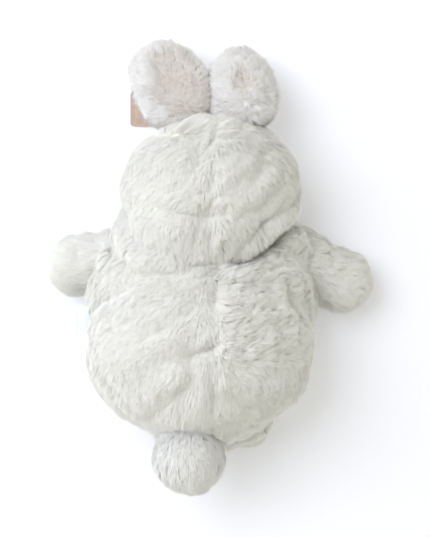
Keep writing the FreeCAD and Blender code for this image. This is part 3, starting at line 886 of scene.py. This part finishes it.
HEAD_FOLDS = (
    (((0.98, 0.00), (0.80, -0.24), (0.56, -0.44), (0.40, -0.62)), -2.4, 5.0),
    (((0.90, -0.24), (0.66, -0.50), (0.44, -0.74), (0.20, -0.88)), 2.6, 6.0),
    (((0.66, 0.20), (0.46, -0.06), (0.16, -0.22)), 1.6, 7.0),
    (((0.44, 0.62), (0.40, 0.38), (0.24, 0.16)), 1.4, 6.0),
    (((-0.66, -0.18), (-0.38, -0.28), (-0.08, -0.35)), -2.4, 5.5),
    (((-0.54, -0.40), (-0.34, -0.48), (-0.10, -0.58)), 1.6, 7.0),
    (((-0.30, 0.60), (-0.24, 0.40), (-0.30, 0.12)), 1.6, 6.0),
    (((-0.14, 0.74), (-0.10, 0.40), (-0.20, 0.00)), -1.2, 5.0),
    (((-0.52, 0.44), (-0.44, 0.14), (-0.20, -0.08)), 1.2, 7.0),
)
NECK_DIMPLE = (-0.08, -0.37)
NECK_RAYS = ((205, 24, 1.4), (250, 24, -1.2), (300, 24, 1.2), (20, 24, -1.6))


def head_skin():
    """The round head with its nape and cheeks."""
    centre, half = head_form()
    half = half - PILE_DEPTH
    forms = bulges(centre, half, (
        ((-8, -24, 20), (0.76 * half[0] / MM, 46, 50)),
        ((-36, -4, -24), (38, 44, 40)),
        ((36, -4, -24), (38, 44, 40)),
    ))
    seams = ((0, SEAM_X), (2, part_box(HEAD_PANELS[0])[0][2]))
    skin = make_skin(forms, rounds=10, floor=5.5 * MM, seed=8, seams=seams)
    push_out(skin, 1.3 * MM * lumps(skin["v"], 34 * MM, 11))
    groove = [(SEAM_X, centre[1] + 0.98 * half[1]), (SEAM_X, centre[1] - 0.95 * half[1])]
    fold(skin, groove, -2.2 * MM, 3.5 * MM)
    for path, height, width in HEAD_FOLDS:
        fold(skin, in_plan(centre, half, path), height * MM, width * MM, lean=0.8)
    dimple = np.array(in_plan(centre, half, [NECK_DIMPLE])[0])
    radial_pinch(skin, dimple, 4 * MM, 9 * MM, NECK_RAYS)
    push_out(skin, 0.8 * MM * lumps(skin["v"] @ turn_about_z(-40), 9 * MM, 13, (1, 3, 1.5)))
    settle(skin, 5 * MM)
    groom_head(skin, centre, half)
    return skin


def groom_head(skin, centre, half):
    """Pile runs from the crown to the nape and away from the centre seam; short round the eyes."""
    u, v = shares(skin, centre, half)
    turn = np.pi * smooth_step(v, 0.6, 1.0)
    skin["flow"][:, 0] = 0.5 * u + 0.9 * np.sin(turn) + 0.3 * np.tanh(u / 0.06) * near(u, 0.18)
    skin["flow"][:, 1] = -np.cos(turn)
    skin["flow"][:, 2] = -0.45
    skin["lift"] += 9 * smooth_step(-v, 0.34, 0.6)
    skin["mess"] += 10 * smooth_step(-v, 0.34, 0.7)
    skin["length"] *= 1 + 0.25 * smooth_step(-v, 0.5, 0.8) + 0.12 * smooth_step(v, 0.8, 0.95)
    skin["density"] += 0.6 * near(v - 0.8, 0.12)
    swirl(skin, 24 * MM, 16, 16)
    calm = smooth_step(-u, 0.1, 0.6)
    skin["lift"] -= 4 * calm
    skin["mess"] -= 2 * calm
    skin["gather"] -= 0.1 * calm
    thin_underside(skin)
    for eye in ("eye_left", "eye_right", "nose"):
        low, high = (np.array(corner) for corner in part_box(eye))
        gap = np.linalg.norm((skin["v"] - (low + high) / 2)[:, :2], axis=1)
        edge = (high - low)[0] * 0.5
        clear = smooth_step(gap, edge, edge + 6 * MM)
        below = skin["n"][:, 2] < 0
        skin["density"][below] *= np.maximum(clear[below], 0.001)
        skin["length"][below] *= 0.4 + 0.6 * clear[below]


def build_neck():
    """Filling packed through the neck opening."""
    low, high = span("neck_stuffing")
    forms = [((low + high) / 2, (high - low) / 2 - 1.5 * MM)]
    skin = make_skin(forms, rounds=2, seed=12, voxel=4 * MM)
    filling("neck", skin, 1 * MM)


# -------- arms, legs and tail

def limb_skin(start, end, radii, seed, seam):
    """Plump sleeve from one point to another, with a radius at each of its evenly spaced forms."""
    forms = []
    for index, radius in enumerate(radii):
        place = start + (end - start) * index / (len(radii) - 1)
        forms.append((place, (radius, radius, radius)))
    skin = make_skin(forms, rounds=14, seed=seed, voxel=2.6 * MM, floor=2.4 * MM, seams=(seam,))
    push_out(skin, 0.9 * MM * lumps(skin["v"], 17 * MM, seed))
    refresh(skin)
    skin["flow"][:] = unit(end - start)
    skin["flow"][:, 2] -= 0.25
    thin_underside(skin)
    return skin


def arm_ends(side, sign):
    """Shoulder and paw centre, from the box of the arm's round-ended solid, and its radius."""
    low, high = span(f"arm_{side}_back_panel", f"arm_{side}_front_panel")
    radius = (high[2] - low[2]) / 2
    inner_x, outer_x = (high[0], low[0]) if sign < 0 else (low[0], high[0])
    shoulder = np.array((inner_x + sign * radius, high[1] - radius, radius))
    paw = np.array((outer_x - sign * radius, low[1] + radius, radius))
    return shoulder, paw, radius


def build_arm(side, sign):
    """Short arm with a fuller shoulder; the right one's pile is rougher."""
    shoulder, paw, radius = arm_ends(side, sign)
    base = radius - PILE_DEPTH + 0.5 * MM
    radii = (1.12 * base, 1.08 * base, base, base, base)
    skin = limb_skin(shoulder, paw, radii, 20 + sign, (2, radius))
    if sign > 0:
        skin["mess"] += 6
        skin["lift"] += 4
    panels = (f"arm_{side}_back_panel", f"arm_{side}_front_panel")
    cover_limb(skin, "arm_" + side, panels, centroids(skin)[:, 2] > radius)


def build_leg(side, sign):
    """Short leg under the rump, with a sole at its end."""
    low, high = span(f"leg_{side}_panel", f"foot_{side}_sole")
    hip = joint_place(f"leg_{side}_flex")
    radius = high[2] - hip[2]
    foot = np.array((low[0] + high[0] - hip[0], low[1] + radius, radius))
    base = radius - PILE_DEPTH + 0.5 * MM
    sole_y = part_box(f"foot_{side}_sole")[1][1]
    skin = limb_skin(hip, foot, (base, base, base), 30 + sign, (1, sole_y))
    panels = (f"foot_{side}_sole", f"leg_{side}_panel")
    cover_limb(skin, "leg_" + side, panels, centroids(skin)[:, 1] < sole_y)


def build_tail():
    """Pom-pom tail with whiter pile that runs out all round from the side by the rump."""
    low, high = span("tail_cover")
    centre = (low + high) / 2
    radius = (high[0] - low[0]) / 2 - PILE_DEPTH - 0.5 * MM
    skin = make_skin([(centre, (radius,) * 3)], rounds=3, seed=41, voxel=2.5 * MM)
    push_out(skin, 0.6 * MM * lumps(skin["v"], 15 * MM, 41))
    refresh(skin)
    away = unit(skin["v"] - (centre + radius * np.array((0.15, 1.1, 0.1))))
    skin["flow"] = away + 0.3 * np.cross(UP, away)
    for groom, value in (("lift", 20), ("mess", 9), ("gather", 0.12)):
        skin[groom][:] = value
    everywhere = np.ones(len(skin["t"]), bool)
    blades = pile(skin, everywhere)
    fur_piece("tail_cover", "tail", skin, everywhere, blades, TAIL_FUR)
    filling("tail", skin, 3.5 * MM)


# -------- ears

# Splay in degrees; lobe, roll and scoop in millimetres; the lining's middle and half sizes, the
# rim's lean and the base's widening in shares of the ear.
EAR_SLOPE = math.radians(25)
EAR_THICKNESS = 9.5 * MM
EARS = {
    "left": {
        "splay": 12, "lobe": 5, "roll": 2.4, "scoop": 2.0, "base": 0.12, "rim": (-0.6, 0.6),
        "lining": (0.20, -0.16, 0.62, 0.80), "seed": 51,
    },
    "right": {
        "splay": 4, "lobe": 0, "roll": 1.0, "scoop": 1.4, "base": 0.30, "rim": (0.5, 0.2),
        "lining": (0.05, -0.08, 0.33, 0.40), "seed": 61,
    },
}


def build_ear(side):
    """Padded ear, a little cupped on the lining's side, with a soft rolled rim."""
    look = EARS[side]
    low, high = span(f"ear_{side}_shell")
    root = joint_place(f"ear_{side}_flop")
    half_x = (high[0] - low[0]) / 2 - 2 * MM
    reach = (high[1] - root[1]) / math.cos(EAR_SLOPE) - 1 * MM
    half_y = (reach + 8 * MM) / 2
    ball, triangles = take_shape(balls([Matrix()], subdivisions=6))
    across, along, up = ball.T
    middle_u, middle_v, radius_u, radius_v = look["lining"]
    edge = 0.16 * lumps(ball, 0.45, look["seed"] + 3)
    gap = np.hypot((across - middle_u) / radius_u, (along - middle_v) / radius_v) + edge
    on_top = smooth_step(up, -0.1, 0.25)
    rim = 0.9 + 0.5 * (across * look["rim"][0] + along * look["rim"][1])
    shaped = ball * (half_x, half_y, EAR_THICKNESS)
    shaped[:, 0] *= 1 + look["base"] * smooth_step(-along, 0.0, 0.9)
    scoop = look["scoop"] * MM * (1 - smooth_step(gap, 0.1, 1.1))
    shaped[:, 2] += on_top * (look["roll"] * MM * rim * near(gap - 1.25, 0.5) - scoop)
    shaped[:, 2] += 11 * MM * on_top * smooth_step(-along, 0.2, 0.95)
    shaped[:, 1] -= 9 * MM * smooth_step(-along, 0.3, 1.0)
    shaped[:, 0] -= look["lobe"] * MM * smooth_step(along, -0.2, 1.0)
    shaped[:, 1] += half_y - 8 * MM
    cosine, sine = math.cos(EAR_SLOPE), math.sin(EAR_SLOPE)
    lean = turn_about_z(-look["splay"]) @ np.array(((1, 0, 0), (0, cosine, -sine), (0, sine, cosine)))
    skin = {"v": shaped @ lean + root, "t": triangles, "seed": look["seed"], "n": unit(ball @ lean)}
    push_out(skin, 1.1 * MM * lumps(skin["v"], 14 * MM, look["seed"]))
    push_out(skin, 0.6 * MM * lumps(skin["v"], 6 * MM, look["seed"] + 1))
    refresh(skin)
    count = len(ball)
    inside = on_top * (1 - smooth_step(gap, 0.7, 1.1))
    outward = np.stack([across - middle_u, along - middle_v + 0.55, np.zeros(count)], axis=1)
    skin["flow"] = unit(outward @ lean + 1e-6)
    skin["lift"] = 21 + 4 * inside
    skin["mess"] = 10 + 8 * inside
    skin["gather"] = 0.2 + 0.1 * inside
    skin["length"] = 9.5 * MM - 4 * MM * inside
    skin["density"] = np.full(count, 1.0)
    swirl(skin, 12 * MM, 30, look["seed"] + 2)
    thin_underside(skin)
    lined = (gap[triangles].mean(axis=1) < 1.0) & (ball[triangles][:, :, 2].mean(axis=1) > 0.05)
    outer_blades = pile(skin, ~lined)
    inner_blades = pile(skin, lined, clump=2.1 * MM, curl=0.3)
    body = "ear_" + side
    fur_piece(body + "_shell", body, skin, ~lined, outer_blades, EAR_FUR)
    fur_piece(body + "_lining", body, skin, lined, inner_blades, LINING)


# -------- small pieces

COTTON = ((0.74, 0.72, 0.67), (0.90, 0.88, 0.83), 2400)
CARD_BORDER = 4.5 * MM
THREAD_RADIUS = 0.35 * MM
RIBBON_THICKNESS = 0.15 * MM


def finish_small_pieces():
    """Better materials for the CAD pieces that keep their shape."""
    gloss, tree, shader = new_material("eye_gloss", Coat_Weight=0.6)
    specks = noise_texture(tree, 700)
    brown = ramp(tree, specks, (0.3, (0.012, 0.010, 0.010)), (0.8, (0.045, 0.03, 0.025)))
    tree.links.new(brown, shader.inputs["Base Color"])
    roughness_from(tree, shader, noise_texture(tree, 1500), 0.05, 0.16)
    nylon = woven_material(
        "moulded_nylon", (0.80, 0.80, 0.79), (0.88, 0.88, 0.87), 500, rough=(0.3, 0.5))
    looks = {
        "eye_left": gloss, "eye_right": gloss,
        "eye_washer_left": nylon, "eye_washer_right": nylon, "tag_pin": nylon,
        "nose": woven_material(
            "nose_velvet_pile", (0.60, 0.36, 0.35), (0.74, 0.49, 0.47), 1500, sheen=0.7),
        "mouth_stitches": woven_material(
            "mouth_floss", (0.40, 0.25, 0.24), (0.56, 0.38, 0.36), 2400),
        "tail_gathering_thread": woven_material("cotton_thread", *COTTON),
        "tag_back_leaf": card_material("tag_back_leaf", 0),
        "tag_front_leaf": card_material("tag_front_leaf", CARD_BORDER),
    }
    for name, material in looks.items():
        obj = frame["nodes"][name]
        obj.data.materials.clear()
        obj.data.materials.append(material)


def woven_material(name, dark, light, scale, sheen=0.1, rough=(0.7, 0.95)):
    material, tree, shader = new_material(name, Sheen_Weight=sheen)
    grain = noise_texture(tree, scale, 4.0)
    tree.links.new(ramp(tree, grain, (0.3, dark), (0.7, light)), shader.inputs["Base Color"])
    roughness_from(tree, shader, grain, *rough)
    add_bump(tree, shader, grain, 0.3, 0.2 * MM)
    return material


def card_material(node_name, border):
    """Mauve printed card, with a tan border of some width."""
    material, tree, shader = new_material(node_name + "_print")
    low, high = span(node_name)
    middle, half = (low + high) / 2, (high - low) / 2
    place = node(tree, "ShaderNodeTexCoord").outputs["Object"]
    split = node(tree, "ShaderNodeSeparateXYZ", Vector=place)
    edges = []
    for axis in (0, 1):
        shift = calculate(tree, "SUBTRACT", split.outputs[axis], middle[axis])
        size = calculate(tree, "ABSOLUTE", shift)
        edges.append(calculate(tree, "GREATER_THAN", size, half[axis] - border))
    edge = calculate(tree, "MAXIMUM", *edges)
    fibre = noise_texture(tree, 260, 5.0)
    mauve = ramp(tree, fibre, (0.3, (0.46, 0.36, 0.34)), (0.7, (0.56, 0.44, 0.42)))
    tan = ramp(tree, fibre, (0.3, (0.52, 0.36, 0.25)), (0.7, (0.66, 0.48, 0.34)))
    tree.links.new(mix(tree, "MIX", edge, mauve, tan), shader.inputs["Base Color"])
    roughness_from(tree, shader, fibre, 0.35, 0.55)
    add_bump(tree, shader, fibre, 0.15, 0.1 * MM)
    return material


def tube(path, radius, sides=6):
    """Thin round thread along a path, closed at both ends."""
    run = unit(np.gradient(path, axis=0))
    side = unit(np.cross(run, UP))
    rise = np.cross(side, run)
    turn = np.linspace(0, 2 * np.pi, sides, endpoint=False)[:, None, None]
    ring = (path + radius * (np.cos(turn) * side + np.sin(turn) * rise)).transpose(1, 0, 2)
    index = np.arange(len(path) * sides).reshape(len(path), sides)
    after = np.roll(index, -1, axis=1)
    ends = len(path) * sides + np.zeros((2, sides), int) + np.array(((0,), (1,)))
    triangles = np.concatenate([
        np.stack([index[:-1], index[1:], after[:-1]], axis=-1).reshape(-1, 3),
        np.stack([after[:-1], index[1:], after[1:]], axis=-1).reshape(-1, 3),
        np.stack([ends[0], index[0], after[0]], axis=-1),
        np.stack([ends[1], after[-1], index[-1]], axis=-1),
    ])
    return np.concatenate([ring.reshape(-1, 3), path[[0, -1]]]), triangles


def build_closing_stitches(skin):
    """Ladder of hand stitches that lies on the backing along the closed seam, under the pile."""
    low, high = span("closing_stitches")
    top = skin["v"][skin["n"][:, 2] > 0.3]
    vertices, triangles = [], []
    for middle_y in np.arange(low[1] + 2 * MM, high[1] - 1 * MM, 5 * MM):
        share = np.linspace(-1, 1, 7)
        path = np.stack([SEAM_X + 2.2 * MM * share, middle_y + 1.0 * MM * share, np.zeros(7)], axis=1)
        for place in path:
            nearest = np.argmin(np.hypot(top[:, 0] - place[0], top[:, 1] - place[1]))
            place[2] = top[nearest, 2]
        path[:, 2] = path[:, 2].max() + MM * (0.5 - 1.2 * np.abs(share) ** 4)
        thread, faces = tube(path, THREAD_RADIUS)
        triangles.append(faces + len(thread) * len(vertices))
        vertices.append(thread)
    cotton = woven_material("cotton_stitch", *COTTON)
    vertices, triangles = np.concatenate(vertices), np.concatenate(triangles)
    obj = fill_mesh("closing_stitches_thread", vertices, triangles, cotton)
    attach(obj, "torso")
    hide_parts("closing_stitches")


def build_label():
    """Satin ribbon folded in half, caught in the side seam by its two ends."""
    low, high = span("side_label")
    rows, columns = 13, 25
    width = high[0] - low[0]
    across = np.linspace(0, 1, columns)
    arms = np.minimum(across, 1 - across) * 2
    x = high[0] - arms * width
    gap = 0.5 * MM * np.sin(np.pi * np.clip(arms, 0, 1)) + 0.25 * MM
    z = (low[2] + high[2]) / 2 + np.where(across < 0.5, gap, -gap) * np.where(arms > 0.97, 0.2, 1)
    y = np.linspace(low[1], high[1], rows)[:, None]
    sag = 1.2 * MM * np.sin(np.linspace(0, 2.6, rows))[:, None] * arms**2
    points = np.stack(np.broadcast_arrays(x, y, z + sag - 2.0 * MM * arms**2), axis=-1)
    index = np.arange(rows * columns).reshape(rows, columns)
    a, b, c, d = index[:-1, :-1], index[1:, :-1], index[1:, 1:], index[:-1, 1:]
    halves = np.stack([a, b, c], -1), np.stack([a, c, d], -1)
    triangles = np.concatenate([half.reshape(-1, 3) for half in halves])
    ribbon = {"v": points.reshape(-1, 3), "t": triangles}
    refresh(ribbon)
    whole = np.ones(len(triangles), bool)
    vertices, triangles, normals = patch_shell(ribbon, whole, RIBBON_THICKNESS)
    satin, tree, shader = new_material("woven_satin", Sheen_Weight=0.2)
    weave = noise_texture(tree, 1800, 2.0, (1, 0.15, 1))
    white = ramp(tree, weave, (0.3, (0.79, 0.815, 0.82)), (0.7, (0.87, 0.89, 0.895)))
    tree.links.new(white, shader.inputs["Base Color"])
    roughness_from(tree, shader, weave, 0.3, 0.5)
    add_bump(tree, shader, weave, 0.2, 0.1 * MM)
    obj = fill_mesh("side_label_ribbon", vertices, triangles, satin, normals)
    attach(obj, "torso")
    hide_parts("side_label")


# -------- all of it

# The first colour of each pile is its root colour: partly the pile's own colour, partly painted shade
# deep in the pile.
FUR = pile_material("cream_pile", (0.86, 0.83, 0.72), (0.948, 0.94, 0.895), (0.975, 0.973, 0.955),
                    (0.97, 0.975, 0.95))
EAR_FUR = pile_material("ear_pile", (0.81, 0.79, 0.77), (0.875, 0.862, 0.853), (0.905, 0.896, 0.89),
                        (0.98, 0.965, 0.955))
TAIL_FUR = pile_material("tail_pile", (0.91, 0.905, 0.87), (0.96, 0.96, 0.945), (0.985, 0.985, 0.975),
                         (0.98, 0.98, 0.96))
LINING = pile_material("lining_pile", (0.74, 0.69, 0.63), (0.825, 0.785, 0.74), (0.88, 0.85, 0.815),
                       (0.96, 0.93, 0.90))
FILLING = woven_material("fibre_filling", (0.84, 0.84, 0.83), (0.94, 0.94, 0.93), 300)

make_camera()
make_studio()
torso = torso_skin()
cover_body(torso, "torso", TORSO_PANELS)
build_closing_stitches(torso)
build_neck()
cover_body(head_skin(), "head", HEAD_PANELS)
for ear_side in EARS:
    build_ear(ear_side)
for limb_side, limb_sign in SIDES:
    build_arm(limb_side, limb_sign)
    build_leg(limb_side, limb_sign)
build_tail()
build_label()
finish_small_pieces()
